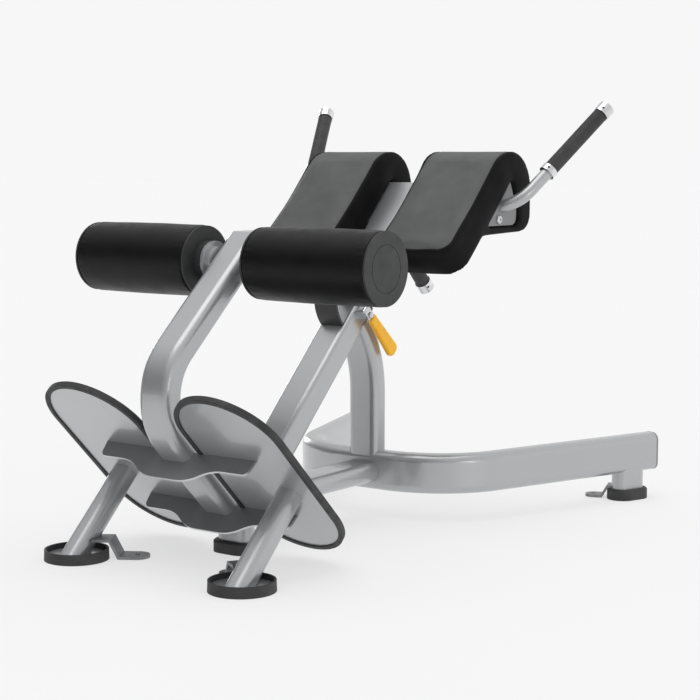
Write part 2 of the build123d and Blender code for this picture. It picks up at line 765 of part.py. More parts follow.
with BuildPart() as pin_spring:
    spring_long = SPRING_END_X - PIN_COLLAR[1] - 2 * SPRING_WIRE - 0.4
    spring_start = lean_point(PIN_COLLAR[1] + SPRING_WIRE + 0.2, PIN_ALONG, PIN_OUT)
    coil = Helix(
        pitch=spring_long / SPRING_TURNS, height=spring_long, radius=SPRING_RADIUS,
        center=tuple(spring_start), direction=(1, 0, 0),
    )
    with BuildSketch(Plane(origin=coil @ 0, z_dir=coil % 0)):
        Circle(SPRING_WIRE)
    sweep(path=coil, is_frenet=True)
save(pin_spring, "pin_spring")

EAR_NEAR = 12.0
EAR_THICK = 3.0

with BuildPart() as lever_bracket:
    ear_low = COLUMN_WIDE / 2
    ear_top = PIVOT_X + EAR_PAST_PIVOT
    ear_middle = PIVOT_OUT - 1
    with BuildSketch(across(PIN_ALONG)) as ear:
        with Locations(((ear_low + ear_top) / 2, ear_middle)):
            RectangleRounded(ear_top - ear_low, EAR_DEEP, EAR_CORNER)
        with Locations((ear_low + EAR_CORNER, ear_middle)):
            Rectangle(2 * EAR_CORNER, EAR_DEEP)
        with Locations((PIVOT_X, PIVOT_OUT)):
            Circle(PIVOT_RADIUS, mode=Mode.SUBTRACT)
    extrude(ear.sketch, amount=EAR_NEAR + EAR_THICK, both=True)
    with BuildSketch(across(PIN_ALONG)) as gap:
        with Locations((COLUMN_WIDE, PIVOT_OUT)):
            Rectangle(COLUMN_WIDE, 40)
    extrude(gap.sketch, amount=EAR_NEAR, both=True, mode=Mode.SUBTRACT)
save(lever_bracket, "lever_bracket")

with BuildPart() as lever_pivot:
    with BuildSketch(across(PIN_ALONG)) as pivot_face:
        with Locations((PIVOT_X, PIVOT_OUT)):
            Circle(PIVOT_RADIUS)
    extrude(pivot_face.sketch, amount=EAR_NEAR + EAR_THICK, both=True)
save(lever_pivot, "lever_pivot")

with BuildPart() as lever_plate:
    knuckle_half = EAR_NEAR - 0.5
    with BuildSketch(across(PIN_ALONG)) as knuckle:
        with Locations((PIVOT_X, PIVOT_OUT)):
            Circle(KNUCKLE_RADIUS)
    extrude(knuckle.sketch, amount=knuckle_half, both=True)
    plate_long = PIVOT_OUT - LEVER_GRIP_OUT[0] + LEVER_TANG
    with BuildSketch(beside(PIVOT_X)) as blade:
        with Locations((PIN_ALONG, PIVOT_OUT - plate_long / 2)):
            Rectangle(2 * LEVER_HALF, plate_long)
        with Locations((PIN_ALONG, PIN_OUT)):
            SlotOverall(2 * PIN_STEM_RADIUS + 8, 2 * PIN_STEM_RADIUS + 2, rotation=90, mode=Mode.SUBTRACT)
    extrude(blade.sketch, amount=LEVER_PLATE / 2, both=True)
    with BuildSketch(across(PIN_ALONG)) as pivot_bore:
        with Locations((PIVOT_X, PIVOT_OUT)):
            Circle(PIVOT_RADIUS + RUNNING_GAP)
    extrude(pivot_bore.sketch, amount=EAR_NEAR, both=True, mode=Mode.SUBTRACT)
save(lever_plate, "lever_plate")

with BuildPart() as lever_grip:
    grip_top, grip_end = LEVER_GRIP_OUT
    narrow, broad = LEVER_GRIP_HALF
    top_round, end_round = LEVER_GRIP_ROUND
    with BuildSketch(beside(PIVOT_X)) as paddle:
        with BuildLine():
            Polyline(
                (PIN_ALONG - narrow, grip_top), (PIN_ALONG - broad, grip_end),
                (PIN_ALONG + broad, grip_end), (PIN_ALONG + narrow, grip_top), close=True,
            )
        make_face()
        fillet(paddle.vertices().group_by(Axis.Y)[0], end_round)
        fillet(paddle.vertices().group_by(Axis.Y)[-1], top_round)
    extrude(paddle.sketch, amount=LEVER_GRIP_THICK / 2, both=True)
    fillet(faces().group_by(Axis.X)[-1].edges() + faces().group_by(Axis.X)[0].edges(), LEVER_GRIP_EDGE)
    add(lever_plate.part, mode=Mode.SUBTRACT)
    on_pin(0, HOUSING_END_X + 0.5, HOUSING_RADIUS + 1.5, mode=Mode.SUBTRACT)
    on_pin(HOUSING_END_X, PIVOT_X + LEVER_GRIP_THICK, PIN_HEAD_RADIUS + 2.5, mode=Mode.SUBTRACT)
save(lever_grip, "lever_grip")

with BuildPart() as guard_strap:
    foot = COLUMN_OUT + COLUMN_DEEP / 2
    with BuildSketch(beside(0)) as bow:
        with BuildLine():
            outer = CenterArc((COLUMN_TOP, foot), GUARD_RADIUS, 180, -90)
            back_edge = Line(outer @ 1, (COLUMN_TOP, foot))
            back_foot = Line(back_edge @ 1, (COLUMN_TOP - GUARD_THICK, foot))
            back_inside = Line(back_foot @ 1, (COLUMN_TOP - GUARD_THICK, foot + GUARD_RADIUS - 2 * GUARD_THICK))
            inner = ThreePointArc(
                back_inside @ 1,
                (
                    COLUMN_TOP - (GUARD_RADIUS - GUARD_THICK) * cos(pi / 4),
                    foot + (GUARD_RADIUS - GUARD_THICK) * sin(pi / 4),
                ),
                (COLUMN_TOP - GUARD_RADIUS + GUARD_THICK, foot),
            )
            Line(inner @ 1, outer @ 0)
        make_face()
    extrude(bow.sketch, amount=GUARD_WIDE / 2, both=True)
save(guard_strap, "guard_strap")


# ---------------------------------------------------------------- carriage
with BuildPart() as carriage_tube:
    with BuildSketch(across(CARRIAGE_TOP)):
        with Locations((0, COLUMN_OUT)):
            tube_section(CARRIAGE_WIDE, CARRIAGE_DEEP, CARRIAGE_CORNER, WALL)
    extrude(amount=CARRIAGE_TOP - CARRIAGE_BOTTOM)
    with BuildSketch(beside(0)) as stops:
        with Locations((PIN_ALONG, PIN_OUT)):
            with GridLocations(HOLE_PITCH, 1, HOLE_COUNT, 1):
                Circle(HOLE_RADIUS)
    extrude(amount=CARRIAGE_WIDE, mode=Mode.SUBTRACT)
save(carriage_tube, "carriage_tube")

with BuildPart() as carriage_cap:
    with BuildSketch(across(CARRIAGE_TOP + 4)):
        with Locations((0, COLUMN_OUT)):
            RectangleRounded(CARRIAGE_WIDE, CARRIAGE_DEEP, CARRIAGE_CORNER)
    extrude(amount=4)
save(carriage_cap, "carriage_cap")

GLIDE_TOP = CARRIAGE_BOTTOM + 50
GLIDE_SOLE = 5.0            # what stays under the carriage tube's end

with BuildPart() as carriage_glide:
    glide_wide = COLUMN_WIDE - 2 * WALL - 2 * GUIDE_GAP
    glide_deep = COLUMN_DEEP - 2 * WALL - 2 * GUIDE_GAP
    with BuildSketch(across(GLIDE_TOP)):
        with Locations((0, COLUMN_OUT)):
            RectangleRounded(glide_wide, glide_deep, COLUMN_CORNER - WALL - GUIDE_GAP)
    extrude(amount=GLIDE_TOP - CARRIAGE_BOTTOM + GLIDE_SOLE)
    with BuildSketch(across(GLIDE_TOP)):
        with Locations((0, COLUMN_OUT)):
            RectangleRounded(CARRIAGE_WIDE, CARRIAGE_DEEP, CARRIAGE_CORNER)
    extrude(amount=GLIDE_TOP - CARRIAGE_BOTTOM, mode=Mode.SUBTRACT)
save(carriage_glide, "carriage_glide")


def handle_tube_sweep():
    """The right handle tube: out along the beam, then up the lean with a splay."""
    turn = radians(HANDLE_SPLAY)
    reach = HANDLE_REACH - BAR_SHORT
    end = (HANDLE_CORNER[0] + reach * sin(turn), HANDLE_CORNER[1] + reach * cos(turn))
    with BuildLine(facing(HANDLE_OUT)) as route:
        FilletPolyline((HANDLE_START_X, HANDLE_CORNER[1]), HANDLE_CORNER, end, radius=HANDLE_BEND)
    with BuildSketch(beside(HANDLE_START_X)) as section:
        with Locations((HANDLE_CORNER[1], HANDLE_OUT)):
            Circle(HANDLE_RADIUS)
    sweep(section.sketch, path=route.line)


with BuildPart() as handle_tubes:
    handle_tube_sweep()
    mirror(about=Plane.YZ)
save(handle_tubes, "handle_tubes")

END_BOLT = (1070.0, -112.0)
END_BOLT_RADIUS = 4.0
END_BOLT_HEAD_RADIUS = 10.0
END_BOLT_HEAD_HIGH = 5.0
END_BOLT_SOCKET = 3.0
END_BOLT_LONG = 19.0
END_NUT_RADIUS = 7.5
END_NUT_THICK = 7.0
END_GAP = 3.0               # between an end plate and the hook's inside

with BuildPart() as beam_ends:
    low_corner = spot(lean_at_height(beam_back, POCKET_FLOOR_UP + 4), PAD_BACK_OUT - 1)
    end_floor = POCKET_FLOOR_UP + END_GAP
    with BuildSketch(side(BEAM_HALF)) as end_outline:
        with BuildLine():
            Polyline(
                low_corner, spot(POCKET_HIGH_ALONG - 2 * END_GAP, PAD_BACK_OUT - 1),
                (POCKET_TOP[0] - 2 * END_GAP, POCKET_TOP[1] - 2), (POCKET_BACK - 2 * END_GAP, end_floor),
                (low_corner[0] + 4, end_floor), close=True,
            )
        make_face()
        fillet(end_outline.vertices().sort_by(Axis.X)[-2:], POCKET_CORNER - 2)
    extrude(end_outline.sketch, amount=BEAM_END_THICK)
    with BuildSketch(beside(BEAM_HALF)) as bolt_hole:
        with Locations(END_BOLT):
            Circle(END_BOLT_RADIUS)
    extrude(bolt_hole.sketch, amount=BEAM_END_THICK, mode=Mode.SUBTRACT)
    mirror(about=Plane.YZ)
    add(handle_tubes.part, mode=Mode.SUBTRACT)
save(beam_ends, "beam_ends")

with BuildPart() as beam_end_bolts:
    bolt_face = BEAM_HALF + BEAM_END_THICK
    with BuildSketch(beside(bolt_face - END_BOLT_LONG)) as shank:
        with Locations(END_BOLT):
            Circle(END_BOLT_RADIUS)
    extrude(shank.sketch, amount=END_BOLT_LONG)
    with BuildSketch(beside(bolt_face)) as head:
        with Locations(END_BOLT):
            Circle(END_BOLT_HEAD_RADIUS)
    extrude(head.sketch, amount=END_BOLT_HEAD_HIGH)
    fillet(faces().sort_by(Axis.X)[-1].edges(), END_BOLT_HEAD_HIGH - 1)
    with BuildSketch(beside(bolt_face + END_BOLT_HEAD_HIGH / 2)) as socket:
        with Locations(END_BOLT):
            RegularPolygon(END_BOLT_SOCKET, 6)
    extrude(socket.sketch, amount=END_BOLT_HEAD_HIGH, mode=Mode.SUBTRACT)
    mirror(about=Plane.YZ)
save(beam_end_bolts, "beam_end_bolts")

with BuildPart() as beam_end_nuts:
    with BuildSketch(beside(BEAM_HALF - END_NUT_THICK)) as nut:
        with Locations(END_BOLT):
            RegularPolygon(END_NUT_RADIUS, 6)
            Circle(END_BOLT_RADIUS, mode=Mode.SUBTRACT)
    extrude(nut.sketch, amount=END_NUT_THICK)
    mirror(about=Plane.YZ)
save(beam_end_nuts, "beam_end_nuts")


# ---------------------------------------------------------------- hip pads, boards and bolts
BOLT_X = (110.0, 215.0)
BOLT_ALONG = (1050.0, 1135.0)
PAD_BOLT_RADIUS = 4.0
PAD_BOLT_HEAD_RADIUS = 7.5
PAD_BOLT_HEAD_HIGH = 5.0

PAD_BOLTS = [(sign * x, along) for sign in HANDS.values() for x in BOLT_X for along in BOLT_ALONG]


def pad_solid(sign):
    """The hip cushion: a thick slab whose top rolls over into a hook behind."""
    crest = spot(CREST_ALONG, PAD_FACE_OUT - CREST_RADIUS)
    floor_along = lean_at_height(PAD_BACK_OUT, HOOK_FLOOR_UP)
    pocket_along = lean_at_height(PAD_BACK_OUT, POCKET_FLOOR_UP)
    with BuildSketch(side(sign * PAD_INNER)) as outline:
        with BuildLine():
            face_edge = Line(spot(PAD_BOTTOM, PAD_FACE_OUT), spot(CREST_ALONG, PAD_FACE_OUT))
            top = CenterArc(crest, CREST_RADIUS, 90 + LEAN, -90 - LEAN)
            rear = Line(top @ 1, (crest[0] + CREST_RADIUS, HOOK_LOW_UP))
            corner = CenterArc((crest[0] + CREST_RADIUS - HOOK_CORNER, HOOK_LOW_UP), HOOK_CORNER, 0, -90)
            under = Line(corner @ 1, spot(floor_along, PAD_BACK_OUT))
            back_edge = Line(under @ 1, spot(PAD_BOTTOM, PAD_BACK_OUT))
            Line(back_edge @ 1, face_edge @ 0)
        make_face()
    extrude(outline.sketch, amount=sign * (PAD_OUTER - PAD_INNER))
    with BuildSketch(side(sign * PAD_INNER)) as pocket:
        with BuildLine():
            Polyline(
                spot(pocket_along, PAD_BACK_OUT), spot(POCKET_HIGH_ALONG, PAD_BACK_OUT), POCKET_TOP,
                (POCKET_BACK, POCKET_FLOOR_UP), close=True,
            )
        make_face()
        fillet(pocket.vertices().sort_by(Axis.X)[-2:], POCKET_CORNER)
    extrude(pocket.sketch, amount=sign * (PAD_OUTER - PAD_INNER), mode=Mode.SUBTRACT)


BOARD_EDGE = 8.0
BOARD_CORNER = 30.0
PAD_MIDDLE_X = (PAD_INNER + PAD_OUTER) / 2
BOARD_WIDE = PAD_OUTER - PAD_INNER - 2 * BOARD_EDGE
BOARD_LOW = PAD_BOTTOM + BOARD_EDGE
BOARD_HIGH = BEAM_HIGH - 5
BOARD_MIDDLES = [
    (-PAD_MIDDLE_X, (BOARD_LOW + BOARD_HIGH) / 2),
    (PAD_MIDDLE_X, (BOARD_LOW + BOARD_HIGH) / 2),
]

with BuildPart() as board_blanks:
    with BuildSketch(facing(PAD_BACK_OUT)):
        with Locations(*BOARD_MIDDLES):
            RectangleRounded(BOARD_WIDE, BOARD_HIGH - BOARD_LOW, BOARD_CORNER)
    extrude(amount=BOARD_THICK)

with BuildPart() as pad_boards:
    add(board_blanks.part)
    with BuildSketch(facing(PAD_BACK_OUT)) as board_holes:
        with Locations(*PAD_BOLTS):
            Circle(PAD_BOLT_RADIUS)
    extrude(board_holes.sketch, amount=BOARD_THICK, mode=Mode.SUBTRACT)
save(pad_boards, "pad_boards")

for hand, sign in HANDS.items():
    with BuildPart() as hip_pad:
        pad_solid(sign)
        low_edges = hip_pad.edges().filter_by(
            lambda edge: abs(edge.length - (PAD_FACE_OUT - PAD_BACK_OUT)) < 1
            and abs((edge.center() - FRONT).dot(ALONG) - PAD_BOTTOM) < 1
        )
        fillet(low_edges, PAD_CORNER)
        add(board_blanks.part, mode=Mode.SUBTRACT)
    save(hip_pad, f"hip_pad_{hand}")

with BuildPart() as pad_beam:
    with BuildSketch(facing(beam_back)):
        with Locations((0, (BEAM_SHOULDER + BEAM_HIGH) / 2)):
            Rectangle(2 * BEAM_HALF, BEAM_HIGH - BEAM_SHOULDER)
        with Locations((0, (BEAM_LOW + BEAM_SHOULDER) / 2)):
            Rectangle(2 * BEAM_TONGUE_HALF, BEAM_SHOULDER - BEAM_LOW)
        with Locations(*PAD_BOLTS):
            Circle(PAD_BOLT_RADIUS, mode=Mode.SUBTRACT)
    extrude(amount=BEAM_THICK)
save(pad_beam, "pad_beam")

with BuildPart() as pad_bolts:
    with BuildSketch(facing(beam_back)) as shanks:
        with Locations(*PAD_BOLTS):
            Circle(PAD_BOLT_RADIUS)
    extrude(shanks.sketch, amount=BEAM_THICK + BOARD_THICK)
    with BuildSketch(facing(beam_back - PAD_BOLT_HEAD_HIGH)) as heads:
        with Locations(*PAD_BOLTS):
            RegularPolygon(PAD_BOLT_HEAD_RADIUS, 6)
    extrude(heads.sketch, amount=PAD_BOLT_HEAD_HIGH)
save(pad_bolts, "pad_bolts")


# ---------------------------------------------------------------- grips, collars and caps
def along_bar(plane, start, end, radius, bore):
    """A round sleeve on a bar, measured along the plane's normal."""
    with BuildSketch(plane.offset(start)) as face:
        Circle(radius)
        Circle(bore, mode=Mode.SUBTRACT)
    extrude(face.sketch, amount=end - start)


def end_cap(plane, start, end, bar_end):
    """A cap over a bar's end, with its outer edge broken."""
    with BuildSketch(plane.offset(start)) as face:
        Circle(CAP_RADIUS)
    extrude(face.sketch, amount=end - start - CAP_EDGE)
    with BuildSketch(plane.offset(end - CAP_EDGE)) as rim:
        Circle(CAP_RADIUS)
    extrude(rim.sketch, amount=CAP_EDGE, taper=45)
    with BuildSketch(plane.offset(start)) as seat:
        Circle(HANDLE_RADIUS)
    extrude(seat.sketch, amount=bar_end - start, mode=Mode.SUBTRACT)


def grub_screw(plane, start, top_radius):
    """A round pin from the bar out to a radius, on the side that faces the user and outwards."""
    seat = plane.offset(start).location * Rot(0, 0, SCREW_TURN) * Pos(HANDLE_RADIUS, 0, 0) * Rot(0, 90, 0)
    with BuildSketch(Plane(seat)) as screw:
        Circle(SCREW_RADIUS)
    extrude(screw.sketch, amount=top_radius - HANDLE_RADIUS)


turn = radians(HANDLE_SPLAY)
right_bar = Plane(
    origin=lean_point(HANDLE_CORNER[0], HANDLE_CORNER[1], HANDLE_OUT),
    x_dir=OUT,
    z_dir=Vector(sin(turn), 0, 0) + ALONG * cos(turn),
)
lift_face = COLUMN_OUT - CARRIAGE_DEEP / 2
lift_bar = Plane(origin=lean_point(0, LIFT_ALONG, lift_face), x_dir=(1, 0, 0), z_dir=-OUT)
cap_start = HANDLE_REACH - CAP_LONG
grip_start = cap_start - GRIP_LONG
lift_cap_start = LIFT_REACH - CAP_LONG
lift_grip_start = lift_cap_start - LIFT_GRIP_LONG

with BuildPart() as handle_grips:
    along_bar(right_bar, grip_start, cap_start, GRIP_RADIUS, HANDLE_RADIUS)
    mirror(about=Plane.YZ)
save(handle_grips, "handle_grips")

with BuildPart() as lift_grip:
    along_bar(lift_bar, lift_grip_start, lift_cap_start, GRIP_RADIUS, HANDLE_RADIUS)
save(lift_grip, "lift_handle_grip")


def every_grub_screw(top_radius):
    """The screws, or with a larger radius their open holes, in all the caps and collars."""
    with BuildPart() as screws:
        grub_screw(right_bar, cap_start + SCREW_FROM_EDGE, top_radius)
        grub_screw(right_bar, grip_start - COLLAR_LONG / 2, top_radius)
        mirror(about=Plane.YZ)
        grub_screw(lift_bar, lift_cap_start + SCREW_FROM_EDGE, top_radius)
        grub_screw(lift_bar, lift_grip_start - COLLAR_LONG / 2, top_radius)
    return screws


grub_screws = every_grub_screw(CAP_RADIUS - SCREW_SUNK)
screw_holes = every_grub_screw(CAP_RADIUS + 1)
save(grub_screws, "grub_screws")

with BuildPart() as handle_collars:
    along_bar(right_bar, grip_start - COLLAR_LONG, grip_start, CAP_RADIUS, HANDLE_RADIUS)
    mirror(about=Plane.YZ)
    along_bar(lift_bar, lift_grip_start - COLLAR_LONG, lift_grip_start, CAP_RADIUS, HANDLE_RADIUS)
    add(screw_holes.part, mode=Mode.SUBTRACT)
save(handle_collars, "handle_collars")

with BuildPart() as handle_caps:
    end_cap(right_bar, cap_start, HANDLE_REACH, HANDLE_REACH - BAR_SHORT)
    mirror(about=Plane.YZ)
    end_cap(lift_bar, lift_cap_start, LIFT_REACH, LIFT_REACH - BAR_SHORT)
    add(screw_holes.part, mode=Mode.SUBTRACT)
save(handle_caps, "handle_caps")

with BuildPart() as lift_tube:
    with BuildSketch(lift_bar):
        Circle(HANDLE_RADIUS)
    extrude(amount=LIFT_REACH - BAR_SHORT)
save(lift_tube, "lift_handle_tube")
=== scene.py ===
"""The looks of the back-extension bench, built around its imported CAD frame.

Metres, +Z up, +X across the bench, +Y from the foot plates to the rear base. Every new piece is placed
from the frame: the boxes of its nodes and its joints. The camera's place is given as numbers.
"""

import json
from math import cos, pi, radians, sin, sqrt

import bmesh
import bpy
import numpy as np
from mathutils import Matrix, Vector, noise


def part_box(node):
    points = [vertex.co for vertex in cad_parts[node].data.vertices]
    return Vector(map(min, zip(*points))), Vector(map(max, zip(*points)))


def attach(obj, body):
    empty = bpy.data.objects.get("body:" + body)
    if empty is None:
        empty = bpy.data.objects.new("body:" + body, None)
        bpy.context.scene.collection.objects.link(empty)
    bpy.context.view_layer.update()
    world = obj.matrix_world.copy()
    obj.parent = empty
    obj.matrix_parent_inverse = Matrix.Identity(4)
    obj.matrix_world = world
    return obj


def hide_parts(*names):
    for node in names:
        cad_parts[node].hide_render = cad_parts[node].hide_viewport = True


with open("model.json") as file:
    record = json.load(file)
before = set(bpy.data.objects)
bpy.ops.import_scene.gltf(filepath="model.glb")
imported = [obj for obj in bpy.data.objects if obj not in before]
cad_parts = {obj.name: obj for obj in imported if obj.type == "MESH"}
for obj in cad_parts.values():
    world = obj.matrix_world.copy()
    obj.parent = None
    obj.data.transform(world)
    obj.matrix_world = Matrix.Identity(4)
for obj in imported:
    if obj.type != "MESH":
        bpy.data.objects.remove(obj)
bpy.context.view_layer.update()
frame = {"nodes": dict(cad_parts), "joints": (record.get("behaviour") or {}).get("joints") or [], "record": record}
nodes = frame["nodes"]
joints = {joint["name"]: joint for joint in frame["joints"]}
HANDS = {"left": -1, "right": 1}

# The bench leans at 45 degrees: ALONG runs up the lean, OUT runs square to it, towards the user.
LEAN = radians(45)
ALONG = Vector((0, cos(LEAN), sin(LEAN)))
OUT = Vector((0, -sin(LEAN), cos(LEAN)))
ACROSS = Vector((1, 0, 0))


# ---------------------------------------------------------------- camera
CAMERA_SPOT = (2.2815, -3.0776, 0.8165)
CAMERA_TURN = 36.42
CAMERA_DIP = 6.39
LENS_MM = 88.68

camera_data = bpy.data.cameras.new("camera")
camera_data.lens = LENS_MM
camera_data.sensor_width = 36
camera = bpy.data.objects.new("camera", camera_data)
camera.location = CAMERA_SPOT
camera.rotation_euler = (radians(90 - CAMERA_DIP), 0, radians(CAMERA_TURN))
bpy.context.scene.collection.objects.link(camera)
bpy.context.scene.camera = camera
bpy.context.scene.view_settings.view_transform = "Standard"


# ---------------------------------------------------------------- small helpers
def mesh_object(name, vertices, faces, smooth=True):
    """A new mesh object from vertex places and faces."""
    mesh = bpy.data.meshes.new(name)
    mesh.from_pydata([tuple(v) for v in vertices], [], faces)
    mesh.update()
    for polygon in mesh.polygons:
        polygon.use_smooth = smooth
    made = bpy.data.objects.new(name, mesh)
    bpy.context.scene.collection.objects.link(made)
    return made


def frame_of(direction):
    """Two directions square to the given one."""
    helper = ACROSS if abs(direction.x) < 0.9 else Vector((0, 0, 1))
    first = direction.cross(helper).normalized()
    return first, direction.cross(first).normalized()


def turned(name, start, direction, profile, ripple=None, sides=96):
    """A closed body turned about an axis: profile lists (distance, radius) from one end to the other.

    ripple(distance, angle, radius) may move a point in or out.
    """
    direction = direction.normalized()
    first, second = frame_of(direction)
    vertices = []
    for distance, radius in profile:
        for k in range(sides):
            angle = 2 * pi * k / sides
            reach = radius + (ripple(distance, angle, radius) if ripple else 0)
            outwards = first * cos(angle) + second * sin(angle)
            vertices.append(start + direction * distance + outwards * reach)
    faces = []
    for ring in range(len(profile) - 1):
        for k in range(sides):
            low = ring * sides + k
            low_next = ring * sides + (k + 1) % sides
            faces.append((low, low_next, low_next + sides, low + sides))
    faces.append(tuple(reversed(range(sides))))
    faces.append(tuple(range((len(profile) - 1) * sides, len(profile) * sides)))
    made = mesh_object(name, vertices, faces)
    for polygon in made.data.polygons[-2:]:
        polygon.use_smooth = False
    fix_normals(made)
    return made


def fix_normals(made):
    """Makes every face look outwards."""
    work = bmesh.new()
    work.from_mesh(made.data)
    bmesh.ops.recalc_face_normals(work, faces=work.faces)
    work.to_mesh(made.data)
    work.free()


def smoothstep(value, low, high):
    """0 below low, 1 above high, and a smooth ramp between."""
    part = min(max((value - low) / (high - low), 0), 1)
    return part * part * (3 - 2 * part)


def dress(piece, body, material):
    """Puts a finished new piece on its body and material."""
    piece.data.materials.clear()
    piece.data.materials.append(material)
    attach(piece, body)


# ---------------------------------------------------------------- materials
class Maker:
    """A node material with one Principled shader and short calls for its texture nodes."""

    def __init__(self, name, colour, metallic=0.0, roughness=0.5):
        self.material = bpy.data.materials.new(name)
        self.material.use_nodes = True
        self.tree = self.material.node_tree
        self.shader = self.tree.nodes["Principled BSDF"]
        self.set("Base Color", (*colour, 1))
        self.set("Metallic", metallic)
        self.set("Roughness", roughness)
        self.place = self.tree.nodes.new("ShaderNodeTexCoord").outputs["Object"]
        self.height = None

    def set(self, socket, value):
        self.shader.inputs[socket].default_value = value

    def link(self, source, target):
        self.tree.links.new(source, target)

    def stretched(self, scale):
        """The object place, scaled differently along X, Y and Z."""
        mapping = self.tree.nodes.new("ShaderNodeMapping")
        mapping.inputs["Scale"].default_value = scale
        self.link(self.place, mapping.inputs["Vector"])
        return mapping.outputs["Vector"]

    def noise(self, scale, detail=4.0, rough=0.55, place=None):
        node = self.tree.nodes.new("ShaderNodeTexNoise")
        node.inputs["Scale"].default_value = scale
        node.inputs["Detail"].default_value = detail
        node.inputs["Roughness"].default_value = rough
        self.link(place or self.place, node.inputs["Vector"])
        return node.outputs["Fac"]

    def cells(self, scale, feature="F1", place=None):
        node = self.tree.nodes.new("ShaderNodeTexVoronoi")
        node.feature = feature
        node.inputs["Scale"].default_value = scale
        self.link(place or self.place, node.inputs["Vector"])
        return node.outputs["Distance"]

    def ramp(self, source, low, high, low_at=0.0, high_at=1.0):
        """Maps a value to a range of numbers or colours."""
        node = self.tree.nodes.new("ShaderNodeValToRGB")
        spread = node.color_ramp.elements
        spread[0].position, spread[1].position = low_at, high_at
        for element, value in zip(spread, (low, high)):
            element.color = (*value, 1) if isinstance(value, tuple) else (value, value, value, 1)
        self.link(source, node.inputs["Fac"])
        return node.outputs["Color"]

    def math(self, operation, first, second=0.0):
        """One arithmetic step on two values, each a number or another step's output."""
        node = self.tree.nodes.new("ShaderNodeMath")
        node.operation = operation
        for socket, value in zip(node.inputs, (first, second)):
            if isinstance(value, (int, float)):
                socket.default_value = value
            else:
                self.link(value, socket)
        return node.outputs["Value"]

    def along(self, direction, of=None):
        """How far the object place, or another vector, reaches along a direction."""
        node = self.tree.nodes.new("ShaderNodeVectorMath")
        node.operation = "DOT_PRODUCT"
        node.inputs[1].default_value = direction
        self.link(of or self.place, node.inputs[0])
        return node.outputs["Value"]

    def blend(self, share, first, second):
        """Mixes two colours by a value from 0 to 1."""
        node = self.tree.nodes.new("ShaderNodeMix")
        node.data_type = "RGBA"
        self.link(share, node.inputs["Factor"])
        self.link(first, node.inputs[6])
        self.link(second, node.inputs[7])
        return node.outputs[2]

    def colour(self, source):
        self.link(source, self.shader.inputs["Base Color"])
        return self

    def roughness(self, source):
        self.link(source, self.shader.inputs["Roughness"])
        return self

    def bump(self, source, strength, depth):
        """Adds relief on top of any relief already there."""
        node = self.tree.nodes.new("ShaderNodeBump")
        node.inputs["Strength"].default_value = strength
        node.inputs["Distance"].default_value = depth
        self.link(source, node.inputs["Height"])
        if self.height:
            self.link(self.height, node.inputs["Normal"])
        self.height = node.outputs["Normal"]
        self.link(self.height, self.shader.inputs["Normal"])
        return self


# The two tones that each material drifts between; for dark_paint, a sheet's faces darkened as painted shade and
# its thin edges lightened as painted highlight; the pads' side tone is painted shade.
TONES = {
    "silver_paint": ((0.39, 0.40, 0.41), (0.50, 0.51, 0.52)),
    "dark_paint": ((0.235, 0.238, 0.244), (0.70, 0.71, 0.72)),
    "black_paint": ((0.030, 0.030, 0.032), (0.045, 0.045, 0.047)),
    "grey_steel": ((0.20, 0.20, 0.21), (0.30, 0.30, 0.31)),
    "axle_steel": ((0.50, 0.50, 0.51), (0.62, 0.62, 0.63)),
    "zinc_steel": ((0.52, 0.52, 0.53), (0.68, 0.68, 0.69)),
    "chrome": ((0.66, 0.66, 0.68), (0.80, 0.80, 0.82)),
    "roller_vinyl": ((0.003, 0.003, 0.0033), (0.005, 0.005, 0.0055)),
    "pad_face": ((0.105, 0.107, 0.107), (0.135, 0.137, 0.137)),
    # The pads' tone past the seam: painted shade on their sides.
    "pad_side_shade": ((0.007, 0.007, 0.0075), (0.012, 0.012, 0.0125)),
    "black_plastic": ((0.026, 0.027, 0.028), (0.038, 0.039, 0.040)),
    "grey_plastic": ((0.25, 0.25, 0.26), (0.33, 0.33, 0.34)),
    "yellow_plastic": ((1.0, 0.47, 0.008), (1.0, 0.56, 0.012)),
    "black_rubber": ((0.034, 0.034, 0.035), (0.050, 0.050, 0.051)),
    "tread_rubber": ((0.02, 0.02, 0.021), (0.045, 0.045, 0.046)),
    "grip_rubber": ((0.022, 0.022, 0.024), (0.042, 0.042, 0.044)),
    "plywood": ((0.33, 0.22, 0.12), (0.56, 0.42, 0.27)),
}


def painted(name, metallic, rough, coat):
    """Powder coat: tiny metal flakes, slow unevenness and a faint orange peel."""
    made = Maker(name, TONES[name][1], metallic, rough)
    made.colour(made.ramp(made.noise(2600, 2), *TONES[name], 0.35, 0.65))
    made.roughness(made.ramp(made.noise(9, 3), rough - 0.03, rough + 0.05, 0.3, 0.7))
    made.bump(made.noise(420, 3), 0.03, 0.0004)
    made.set("Coat Weight", coat)
    made.set("Coat Roughness", 0.07)
    return made.material


def plain_metal(name, rough, grain_scale):
    """Bare or plated metal with fine drawn lines and slight tarnish."""
    made = Maker(name, TONES[name][1], 1.0, rough)
    made.colour(made.ramp(made.noise(60, 5), *TONES[name], 0.3, 0.7))
    lines = made.noise(1.0, 3, place=made.stretched(grain_scale))
    made.roughness(made.ramp(lines, rough * 0.8, rough * 1.25, 0.3, 0.7))
    made.bump(lines, 0.12, 0.0003)
    return made.material


VINYL_GRAIN = 1100          # pebbles per metre
SEAM_INSET = 0.012          # from the pad's outline to the seam round its face
SEAM_CREASE = 0.0025        # half the width of the crease drawn along the seam
PAD_CORNER = 0.042          # radius of the two lower corners of the pad's face
PAD_FACE_GLOSS = 0.2
PAD_EDGE_GLOSS = 0.06


